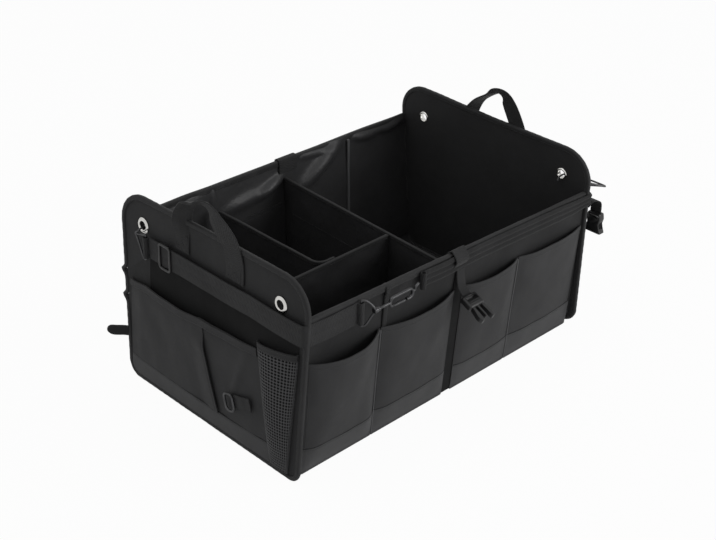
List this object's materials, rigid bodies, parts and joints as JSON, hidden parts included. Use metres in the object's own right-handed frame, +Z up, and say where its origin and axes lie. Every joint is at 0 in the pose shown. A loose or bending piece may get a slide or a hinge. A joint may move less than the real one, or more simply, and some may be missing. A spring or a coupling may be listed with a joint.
{
  "type": "car trunk organizer",
  "caption": "Open-topped fabric trunk organizer with outer pockets, a mesh side pocket, inner dividers, carry handles, metal eyelets and hooked webbing straps.",
  "frame": {"origin": "middle of the underside, on the floor it stands on", "axes": "+Z up, +X along the long side away from the end with the mesh pocket, +Y towards the plain long wall"},
  "size_m": [0.6744, 0.4648, 0.3488],
  "materials": {
    "shell": "woven polyester, slight sheen",
    "pocket": "woven polyester, slight sheen",
    "band": "woven polyester, smoother",
    "lining": "woven polyester over stiff board",
    "edge": "folded binding tape",
    "strap": "ribbed webbing",
    "plastic": "moulded, satin",
    "wire": "black coated steel wire, satin",
    "nickel": "bright nickel"
  },
  "bodies": {
    "organizer": {"floor_pan": "shell", "front_wall": "shell", "left_panel": "shell", "right_panel": "shell", "front_pocket_1": "pocket", "front_pocket_2": "pocket", "front_pocket_3": "pocket", "front_pocket_4": "pocket", "left_pocket": "pocket", "mesh_pocket": "pocket", "front_base_band": "band", "left_base_band": "band", "back_wall": "lining", "base_board": "lining", "cross_divider": "lining", "long_divider": "lining", "short_divider": "lining", "insert_back_panel": "lining", "left_binding": "edge", "right_binding": "edge", "front_rim_binding": "edge", "back_rim_binding": "edge", "cross_divider_binding": "edge", "long_divider_binding": "edge", "short_divider_binding": "edge", "mesh_hem": "edge", "left_handle": "strap", "right_handle": "strap", "back_tab": "strap", "front_tab": "strap", "rim_tab": "strap", "left_strap": "strap", "front_strap": "strap", "front_tail": "strap", "right_tail": "strap", "rear_tail": "strap", "side_tail": "strap", "front_buckle": "plastic", "right_buckle": "plastic", "side_ring": "plastic", "rear_hook": "wire", "corner_hook": "wire", "snap_eye": "wire", "left_eyelet_a": "nickel", "left_eyelet_b": "nickel", "right_eyelet_a": "nickel", "right_eyelet_b": "nickel"},
    "snap_hook": {"snap_body": "wire"},
    "gate": {"snap_gate": "wire"},
    "slider": {"slider": "plastic"}
  },
  "joints": [
    {"name": "snap_swivel", "type": "hinge", "parent": "organizer", "child": "snap_hook", "pos_m": [-0.188, -0.2135, 0.239], "axis": [1, 0, 0], "continuous": true},
    {"name": "gate_hinge", "type": "hinge", "parent": "snap_hook", "child": "gate", "pos_m": [-0.1535, -0.2135, 0.2324], "axis": [0, -1, 0], "range_deg": [0, 18], "stiffness_Nm_per_rad": 0.02, "springref_deg": -8.59},
    {"name": "slider_travel", "type": "slide", "parent": "organizer", "child": "slider", "axis": [0, -1, 0], "range_m": [-0.015, 0.06]}
  ]
}
